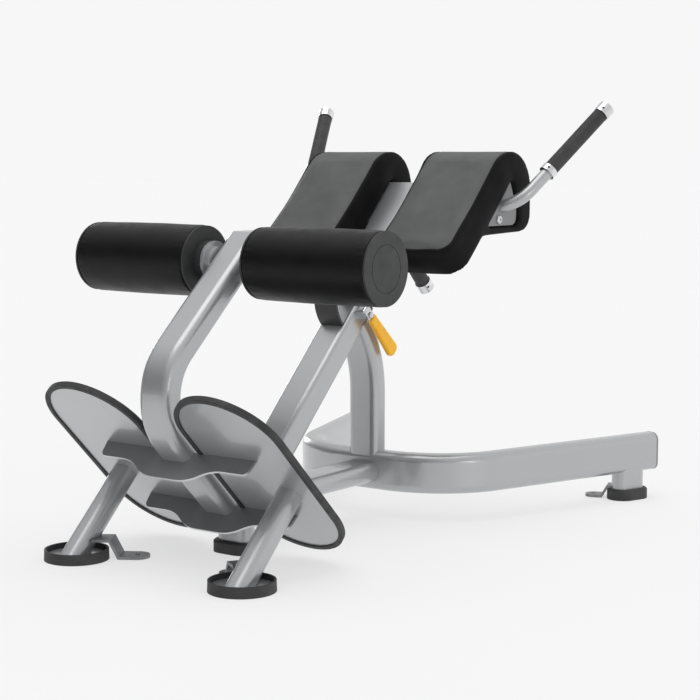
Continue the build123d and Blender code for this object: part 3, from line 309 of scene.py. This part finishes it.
def vinyl(name, colour, rough, gloss):
    """Upholstery vinyl of one plain colour: pebbled grain, fine creases, and glossier handled patches."""
    made = Maker(name, colour, 0.0, rough)
    made.roughness(made.ramp(made.noise(30, 4), rough - 0.06, rough + 0.06, 0.3, 0.7))
    made.bump(made.cells(VINYL_GRAIN), 0.35, 0.0003)
    made.bump(made.noise(260, 6, 0.7), 0.15, 0.0005)
    made.set("Specular IOR Level", gloss)
    return made


def drift(made, tones):
    """The slow drift of a dyed vinyl between two tones."""
    return made.ramp(made.noise(14, 5), *tones, 0.3, 0.7)


def roller_vinyl():
    """The ankle rollers' one black vinyl."""
    made = vinyl("roller_vinyl", TONES["roller_vinyl"][1], 0.40, 0.2)
    made.colour(drift(made, TONES["roller_vinyl"]))
    return made.material


def pad_vinyl():
    """The hip pads' vinyl: charcoal on the face; beyond the seam round it, the sides turn near black as painted
    shade.
    """
    made = vinyl("pad_vinyl", TONES["pad_face"][1], 0.55, PAD_FACE_GLOSS)
    low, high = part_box("hip_pad_right")
    bottom = min(Vector(v.co).dot(ALONG) for v in nodes["hip_pad_right"].data.vertices)
    width = (high.x - low.x) / 2
    away = made.math("ABSOLUTE", made.along(ACROSS))
    sideways = made.math("ABSOLUTE", made.math("SUBTRACT", away, (low.x + high.x) / 2))
    upwards = made.math("SUBTRACT", made.along(ALONG), bottom)
    past_side = made.math("MAXIMUM", made.math("SUBTRACT", sideways, width - PAD_CORNER), 0.0)
    past_end = made.math("MAXIMUM", made.math("SUBTRACT", PAD_CORNER, upwards), 0.0)
    squares = [made.math("MULTIPLY", past, past) for past in (past_side, past_end)]
    inset = made.math("SUBTRACT", PAD_CORNER, made.math("SQRT", made.math("ADD", *squares)))
    # Past the seam the colour turns near black: painted shade on the pads' sides.
    painted_side_shade = made.ramp(made.math("MULTIPLY", inset, 1 / (2 * SEAM_INSET)), 1.0, 0.0, 0.47, 0.53)
    made.colour(made.blend(painted_side_shade, drift(made, TONES["pad_face"]), drift(made, TONES["pad_side_shade"])))
    made.link(made.ramp(painted_side_shade, PAD_FACE_GLOSS, PAD_EDGE_GLOSS), made.shader.inputs["Specular IOR Level"])
    off_seam = made.math("ABSOLUTE", made.math("SUBTRACT", inset, SEAM_INSET))
    made.bump(made.ramp(made.math("MULTIPLY", off_seam, 1 / SEAM_CREASE), 0.0, 1.0), 0.5, 0.0008)
    return made.material


def moulded(name, rough):
    """Moulded plastic or rubber: spark-eroded texture and a dusty colour drift."""
    made = Maker(name, TONES[name][1], 0.0, rough)
    made.colour(made.ramp(made.noise(22, 4), *TONES[name], 0.3, 0.7))
    made.roughness(made.ramp(made.noise(45, 4), rough - 0.05, rough + 0.08, 0.3, 0.7))
    made.bump(made.noise(1500, 3), 0.25, 0.0002)
    made.set("Specular IOR Level", 0.4)
    return made.material


def bracket_shade_highlight_paint():
    """The brackets' coat: broad faces darkened as painted shade, thin edges where the sheet's thickness shows
    lightened as painted highlight.
    """
    # face is the painted-shade tone of the broad faces, edge the painted-highlight tone of the thin edges.
    face, edge = TONES["dark_paint"]
    made = Maker("bracket_shade_highlight_paint", face, 0.5, 0.42)
    facing = made.tree.nodes.new("ShaderNodeNewGeometry").outputs["Normal"]
    shaded_share = made.math(
        "MAXIMUM",
        made.math("ABSOLUTE", made.along(OUT, facing)),
        made.math("ABSOLUTE", made.along(ACROSS, facing)),
    )
    # Faces square to OUT or ACROSS get the painted shade, all other faces (the thin edges) the painted highlight.
    made.colour(made.ramp(shaded_share, edge, face, 0.6, 0.95))
    made.roughness(made.ramp(made.noise(9, 3), 0.38, 0.48, 0.3, 0.7))
    made.bump(made.noise(420, 3), 0.10, 0.0004)
    return made.material


def grip_foam():
    """The handle sleeves: rubber with a fine ribbed knit of pores."""
    made = Maker("grip_foam", TONES["grip_rubber"][1], 0.0, 0.62)
    made.colour(made.ramp(made.noise(40, 4), *TONES["grip_rubber"], 0.3, 0.7))
    made.bump(made.cells(900), 0.5, 0.0004)
    made.bump(made.noise(2400, 3), 0.25, 0.0002)
    return made.material


def plywood():
    """Birch plywood: long grain and the glue lines of its layers."""
    made = Maker("plywood", TONES["plywood"][1], 0.0, 0.7)
    grain = made.noise(1.0, 6, place=made.stretched((30, 400, 400)))
    made.colour(made.ramp(grain, *TONES["plywood"], 0.3, 0.7))
    made.bump(grain, 0.3, 0.0004)
    return made.material


def tread_rubber():
    """The foot treads' rubber, with a scuffed, dusty surface."""
    made = Maker("tread_rubber", TONES["tread_rubber"][1], 0.0, 0.6)
    made.colour(made.ramp(made.noise(35, 6), *TONES["tread_rubber"], 0.35, 0.75))
    made.roughness(made.ramp(made.noise(60, 5), 0.5, 0.72, 0.3, 0.7))
    made.bump(made.noise(1300, 4), 0.35, 0.0003)
    return made.material


looks = {
    "silver_paint": painted("silver_paint", metallic=0.6, rough=0.32, coat=0.8),
    "dark_paint": bracket_shade_highlight_paint(),
    "black_paint": painted("black_paint", metallic=0.2, rough=0.42, coat=0.1),
    "grey_steel": plain_metal("grey_steel", rough=0.42, grain_scale=(300, 300, 300)),
    "axle_steel": plain_metal("axle_steel", rough=0.25, grain_scale=(900, 40, 40)),
    "zinc_steel": plain_metal("zinc_steel", rough=0.28, grain_scale=(300, 300, 300)),
    "chrome": plain_metal("chrome", rough=0.10, grain_scale=(200, 200, 200)),
    "pad_vinyl": pad_vinyl(),
    "roller_vinyl": roller_vinyl(),
    "black_plastic": moulded("black_plastic", rough=0.5),
    "grey_plastic": moulded("grey_plastic", rough=0.45),
    "black_rubber": moulded("black_rubber", rough=0.6),
    "tread_rubber": tread_rubber(),
    "grip_rubber": grip_foam(),
    "yellow_plastic": moulded("yellow_plastic", rough=0.28),
    "plywood": plywood(),
}

slot_of = {part["node"]: part["material_slot"] for part in frame["record"]["subparts"]}
for node, thing in nodes.items():
    thing.data.materials.clear()
    thing.data.materials.append(looks[slot_of[node]])


# ---------------------------------------------------------------- hip pads: simulated cushions
PAD_VOXEL = 0.0045
PAD_ROUNDING = 9            # rounds of smoothing that soften the plain solid's edges
PAD_ROUNDING_SHARE = 0.5
PAD_SWELL = 0.0055          # the most that any point may move out
PAD_EVENING = 40            # rounds of averaging that leave a taut cover without wrinkles
CLOTH_STEPS = 20
CLOTH_PRESSURE = 4.0
CLOTH_STIFFNESS = 25
CLOTH_BENDING = 2.0
HELD_NEAR = 0.006           # how far in front of the beam the cover is still held
SEAM_HALF = 0.006
SEAM_DEPTH = 0.0009
TINY = 1e-9


def apply_modifiers(made):
    """Replaces an object's mesh by what its modifiers make of it."""
    evaluated = made.evaluated_get(bpy.context.evaluated_depsgraph_get())
    mesh = bpy.data.meshes.new_from_object(evaluated)
    made.modifiers.clear()
    old = made.data
    made.data = mesh
    bpy.data.meshes.remove(old)


def rounded_copy(node, name):
    """A remeshed, softened copy of a plain CAD cushion."""
    made = bpy.data.objects.new(name, nodes[node].data.copy())
    bpy.context.scene.collection.objects.link(made)
    remesh = made.modifiers.new("remesh", "REMESH")
    remesh.mode = "VOXEL"
    remesh.voxel_size = PAD_VOXEL
    smooth = made.modifiers.new("smooth", "SMOOTH")
    smooth.factor = PAD_ROUNDING_SHARE
    smooth.iterations = PAD_ROUNDING
    apply_modifiers(made)
    return made


def evened(shifts, edges):
    """The same movements, each averaged with its neighbours' over and over."""
    ends, others = edges[:, 0], edges[:, 1]
    count = np.ones((len(shifts), 1))
    np.add.at(count, ends, 1)
    np.add.at(count, others, 1)
    for _ in range(PAD_EVENING):
        total = shifts.copy()
        np.add.at(total, ends, shifts[others])
        np.add.at(total, others, shifts[ends])
        shifts = total / count
    return shifts


def inflate(made, held):
    """Blows the cover out by cloth simulation; held are the points fixed to the board and beam."""
    rest = np.array([tuple(vertex.co) for vertex in made.data.vertices])
    group = made.vertex_groups.new(name="held")
    group.add([vertex.index for vertex in made.data.vertices if held(vertex.co)], 1.0, "REPLACE")
    settings = made.modifiers.new("cloth", "CLOTH").settings
    settings.use_pressure = True
    settings.uniform_pressure_force = CLOTH_PRESSURE
    settings.vertex_group_mass = "held"
    settings.tension_stiffness = CLOTH_STIFFNESS
    settings.compression_stiffness = CLOTH_STIFFNESS
    settings.bending_stiffness = CLOTH_BENDING
    settings.effector_weights.gravity = 0.0
    for step in range(1, CLOTH_STEPS + 1):
        bpy.context.scene.frame_set(step)
    evaluated = made.evaluated_get(bpy.context.evaluated_depsgraph_get())
    blown = np.array([tuple(vertex.co) for vertex in evaluated.data.vertices])
    made.modifiers.clear()
    bpy.context.scene.frame_set(1)
    edges = np.array([tuple(edge.vertices) for edge in made.data.edges])
    shifts = evened(blown - rest, edges)
    lengths = np.linalg.norm(shifts, axis=1, keepdims=True)
    shifts *= np.minimum(1, PAD_SWELL / np.maximum(lengths, TINY))
    for vertex, place in zip(made.data.vertices, rest + shifts):
        vertex.co = place


def sink_seam(pad, low, high, bottom):
    """Draws the cover in along the seam that runs round the pad's face."""
    width = (high.x - low.x) / 2
    pad.data.update()
    normals = [vertex.normal.copy() for vertex in pad.data.vertices]
    for vertex, normal in zip(pad.data.vertices, normals):
        past_side = max(abs(vertex.co.x - (low.x + high.x) / 2) - (width - PAD_CORNER), 0)
        past_end = max(PAD_CORNER - (vertex.co.dot(ALONG) - bottom), 0)
        gap = abs(PAD_CORNER - sqrt(past_side ** 2 + past_end ** 2) - SEAM_INSET)
        vertex.co -= normal * SEAM_DEPTH * (1 - smoothstep(gap, 0, SEAM_HALF))


def cushion(node, name):
    """One hip pad: a J-shaped cushion, blown taut, with a seam round its face."""
    low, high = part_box(node)
    beam_front = max(Vector(v.co).dot(OUT) for v in nodes["pad_beam"].data.vertices)
    board_end = max(Vector(v.co).dot(ALONG) for v in nodes["pad_boards"].data.vertices)
    bottom = min(Vector(v.co).dot(ALONG) for v in nodes[node].data.vertices)
    pad = rounded_copy(node, name)

    def held(co):
        return co.dot(OUT) < beam_front + HELD_NEAR and co.dot(ALONG) < board_end

    inflate(pad, held)
    divide = pad.modifiers.new("divide", "SUBSURF")
    divide.levels = 1
    divide.render_levels = 1
    apply_modifiers(pad)
    sink_seam(pad, low, high, bottom)
    for polygon in pad.data.polygons:
        polygon.use_smooth = True
    return pad


def mirrored(made, name):
    """A copy of a piece on the other side of the bench."""
    twin = bpy.data.objects.new(name, made.data.copy())
    bpy.context.scene.collection.objects.link(twin)
    twin.data.transform(Matrix.Scale(-1, 4, ACROSS))
    twin.data.flip_normals()
    return twin


right_cushion = cushion("hip_pad_right", "cushion_right")
left_cushion = mirrored(right_cushion, "cushion_left")
for pad, node in ((right_cushion, "hip_pad_right"), (left_cushion, "hip_pad_left")):
    dress(pad, "carriage", looks["pad_vinyl"])
    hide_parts(node)


# ---------------------------------------------------------------- ankle rollers
AXLE = Vector(joints["left_roller_spin"]["pos_m"])
ROLL_EDGE = 0.007
ROLL_CROWN = 0.0012
ROLL_STEPS = 60
GATHER_FROM = 0.006         # how far in from an end the gathers are deepest
GATHER_TO = 0.05            # and where they have died away
GATHER_DEPTH = 0.0007
FOAM_DRIFT = 0.0004


def rolled_edge(radius, edge, steps):
    """The (distance, radius) points of a quarter round at the end of a sleeve."""
    turns = [pi / 2 * k / steps for k in range(steps + 1)]
    return [(edge * (1 - cos(turn)), radius - edge * (1 - sin(turn))) for turn in turns]


def roller(hand, sign):
    """A tight vinyl sleeve over foam: rolled ends, a slight crown and faint gathers near the ends."""
    node = f"{hand}_roller_pad"
    low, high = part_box(node)
    long = high.x - low.x
    radius = (high.z - low.z) / 2 - ROLL_CROWN
    near_end = [(0, radius - 3 * ROLL_EDGE)] + rolled_edge(radius, ROLL_EDGE, 8)
    profile = list(near_end)
    for k in range(1, ROLL_STEPS):
        share = k / ROLL_STEPS
        profile.append((ROLL_EDGE + (long - 2 * ROLL_EDGE) * share, radius + ROLL_CROWN * sin(pi * share)))
    profile += [(long - distance, reach) for distance, reach in reversed(near_end)]

    def gathers(distance, angle, reach):
        if reach < radius - ROLL_EDGE:
            return 0
        end = min(distance, long - distance)
        near = smoothstep(end, 0.0, GATHER_FROM) * (1 - smoothstep(end, GATHER_FROM, GATHER_TO))
        wave = noise.noise(Vector((cos(angle) * 9, sin(angle) * 9, end * 30 + 7 * sign)))
        slow = noise.noise(Vector((cos(angle) * 2, sin(angle) * 2, distance * 14)))
        return GATHER_DEPTH * near * wave + FOAM_DRIFT * slow

    start = Vector((low.x, AXLE.y, AXLE.z))
    sleeve = turned(f"{hand}_roller_sleeve", start, ACROSS, profile, gathers, sides=160)
    dress(sleeve, f"{hand}_roller", looks["roller_vinyl"])
    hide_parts(node)


for hand, sign in HANDS.items():
    roller(hand, sign)


# ---------------------------------------------------------------- handle grips
GRIP_EDGE = 0.0022
GRIP_STEPS = 70
GRIP_SINK = 0.0002          # how far the sleeve stays inside the plain solid
GRIP_WEAR = 0.0003


def bar_axis(points):
    """Start, direction, length and radius of a straight round solid, from its points."""
    places = np.array([tuple(p) for p in points])
    centre = places.mean(0)
    direction = np.linalg.svd(places - centre, full_matrices=False)[2][0]
    reach = (places - centre) @ direction
    away = (places - centre) - np.outer(reach, direction)
    radius = np.linalg.norm(away, axis=1).max()
    return Vector(centre + direction * reach.min()), Vector(direction), reach.max() - reach.min(), radius


def grip(name, points, node):
    """A rubber sleeve with rounded ends and a slightly worn, uneven surface."""
    start, direction, long, radius = bar_axis(points)
    near_end = rolled_edge(radius, GRIP_EDGE, 5)
    profile = list(near_end)
    for k in range(1, GRIP_STEPS):
        profile.append((GRIP_EDGE + (long - 2 * GRIP_EDGE) * k / GRIP_STEPS, radius))
    profile += [(long - distance, reach) for distance, reach in reversed(near_end)]

    def wear(distance, angle, _reach):
        return -GRIP_WEAR * noise.noise(Vector((cos(angle) * 2, sin(angle) * 2, distance * 25))) - GRIP_SINK

    sleeve = turned(name, start, direction, profile, wear, sides=64)
    dress(sleeve, "carriage", looks["grip_rubber"])
    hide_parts(node)


side_grips = [Vector(v.co) for v in nodes["handle_grips"].data.vertices]
grip("grip_sleeve_left", [co for co in side_grips if co.x < 0], "handle_grips")
grip("grip_sleeve_right", [co for co in side_grips if co.x > 0], "handle_grips")
grip("grip_sleeve_low", [Vector(v.co) for v in nodes["lift_handle_grip"].data.vertices], "lift_handle_grip")


# ---------------------------------------------------------------- ribs of the foot treads
RIB_PITCH = 0.016
RIB_HALF = 0.0035
RIB_HIGH = 0.0016
RIB_MARGIN = 0.016
RIB_SINK = 0.0004           # how far a rib's foot stands in the tread
RIB_SLANT = 0.003           # how far a rib's ends lean in
RIB_SHORTEST = 0.02         # half the length of the shortest rib worth making
RIB_SECTION = ((-1, 0), (-0.7, 0.8), (-0.3, 1), (0.3, 1), (0.7, 0.8), (1, 0))


def rib(place, half, out, top):
    """The points and faces of one rib: its section at both ends, joined."""
    vertices, faces = [], []
    for end in (-1, 1):
        for width, rise in RIB_SECTION:
            across = end * (half - RIB_SLANT * rise)
            level = top - RIB_SINK + (RIB_HIGH + RIB_SINK) * rise
            vertices.append(ACROSS * (place + across) + OUT * (out + width * RIB_HALF) + ALONG * level)
    count = len(RIB_SECTION)
    for j in range(count):
        following = (j + 1) % count
        faces.append((j, following, following + count, j + count))
    faces.append(tuple(range(count)))
    faces.append(tuple(range(2 * count - 1, count - 1, -1)))
    return vertices, faces


def tread_ribs():
    """Raised ribs across the top of both foot treads, cut off by the treads' round ends."""
    points = [Vector(v.co) for v in nodes["foot_treads"].data.vertices if v.co.x > 0]
    left, right = min(p.x for p in points), max(p.x for p in points)
    low, high = min(p.dot(OUT) for p in points), max(p.dot(OUT) for p in points)
    top = max(p.dot(ALONG) for p in points)
    middle = (left + right) / 2
    radius = (right - left) / 2
    gaps = int((high - low - 2 * RIB_MARGIN) / RIB_PITCH)
    vertices, faces = [], []
    for sign in HANDS.values():
        for k in range(gaps + 1):
            out = (low + high) / 2 + (k - gaps / 2) * RIB_PITCH
            past_straight = max(low + radius - out, out - (high - radius), 0)
            half = sqrt(max((radius - RIB_MARGIN) ** 2 - past_straight ** 2, 0))
            if half < RIB_SHORTEST:
                continue
            spots, sides = rib(sign * middle, half, out, top)
            faces += [tuple(corner + len(vertices) for corner in side) for side in sides]
            vertices += spots
    ribs = mesh_object("tread_ribs", vertices, faces, smooth=False)
    fix_normals(ribs)
    dress(ribs, "frame", looks["tread_rubber"])


tread_ribs()


# ---------------------------------------------------------------- studio
FLOOR_REACH = 40
FLOOR_SHADE = 0.3
FLOOR_GLOW = 0.618          # the floor's own light, which keeps its shadows faint
BACKDROP = 0.93
CEILING = 1.05
CEILING_FROM = 0.3          # the height on the sky's unit ball where the ceiling's light begins
CEILING_FULL = 0.85
DARK_SIDE = 0.12            # the studio in front and to the left, which the arm's front mirrors
BRIGHT_SIDE = 1.3
BRIGHT_WAY = (0.6, 0.8, 0.0)
SUNS = {                    # direction, strength, and spread in degrees
    "overhead": ((0.1, 0.05, -1), 0.9, 50),
    "left_strip": ((0.84, -0.5, -0.19), 0.25, 20),
    "right_strip": ((-0.93, 0.34, -0.08), 0.2, 20),
}


def studio():
    """A plain pale floor."""
    corners = [(-1, -1), (1, -1), (1, 1), (-1, 1)]
    floor = mesh_object("floor", [(x * FLOOR_REACH, y * FLOOR_REACH, 0) for x, y in corners], [(0, 1, 2, 3)])
    pale = Maker("floor_pale", (FLOOR_SHADE, FLOOR_SHADE, FLOOR_SHADE), 0.0, 0.9)
    pale.set("Specular IOR Level", 0.0)
    pale.set("Emission Color", (1, 1, 1, 1))
    pale.set("Emission Strength", FLOOR_GLOW)
    floor.data.materials.append(pale.material)


def ranged(tree, source, low, high, low_to, high_to, curve="LINEAR"):
    """A sky value mapped from one range to another."""
    node = tree.nodes.new("ShaderNodeMapRange")
    node.interpolation_type = curve
    limits = {"From Min": low, "From Max": high, "To Min": low_to, "To Max": high_to}
    for socket, value in limits.items():
        node.inputs[socket].default_value = value
    tree.links.new(source, node.inputs["Value"])
    return node.outputs["Result"]


def soft_world():
    """A plain pale backdrop, and the soft studio that the bench mirrors: bright behind, darker in front."""
    world = bpy.data.worlds.new("studio")
    bpy.context.scene.world = world
    world.use_nodes = True
    tree = world.node_tree
    tree.nodes.clear()
    output = tree.nodes.new("ShaderNodeOutputWorld")
    seen = tree.nodes.new("ShaderNodeBackground")
    seen.inputs["Color"].default_value = (BACKDROP, BACKDROP, BACKDROP, 1)
    lit = tree.nodes.new("ShaderNodeBackground")
    place = tree.nodes.new("ShaderNodeTexCoord")
    turn = tree.nodes.new("ShaderNodeVectorMath")
    turn.operation = "DOT_PRODUCT"
    turn.inputs[1].default_value = BRIGHT_WAY
    tree.links.new(place.outputs["Generated"], turn.inputs[0])
    round_about = ranged(tree, turn.outputs["Value"], -1, 1, DARK_SIDE, BRIGHT_SIDE)
    split = tree.nodes.new("ShaderNodeSeparateXYZ")
    tree.links.new(place.outputs["Generated"], split.inputs["Vector"])
    upwards = ranged(tree, split.outputs["Z"], CEILING_FROM, CEILING_FULL, 0, 1, "SMOOTHSTEP")
    level = tree.nodes.new("ShaderNodeMix")
    tree.links.new(upwards, level.inputs["Factor"])
    tree.links.new(round_about, level.inputs[2])
    level.inputs[3].default_value = CEILING
    tree.links.new(level.outputs[0], lit.inputs["Strength"])
    ray = tree.nodes.new("ShaderNodeLightPath")
    mix = tree.nodes.new("ShaderNodeMixShader")
    tree.links.new(ray.outputs["Is Camera Ray"], mix.inputs["Fac"])
    tree.links.new(lit.outputs["Background"], mix.inputs[1])
    tree.links.new(seen.outputs["Background"], mix.inputs[2])
    tree.links.new(mix.outputs["Shader"], output.inputs["Surface"])


def sun(name, direction, strength, spread):
    """A broad, even light from far away, aimed along a direction."""
    data = bpy.data.lights.new(name, "SUN")
    data.energy = strength
    data.angle = radians(spread)
    lamp = bpy.data.objects.new(name, data)
    lamp.rotation_euler = Vector(direction).to_track_quat("-Z", "Y").to_euler()
    bpy.context.scene.collection.objects.link(lamp)


studio()
soft_world()
for name, (direction, strength, spread) in SUNS.items():
    sun(name, direction, strength, spread)
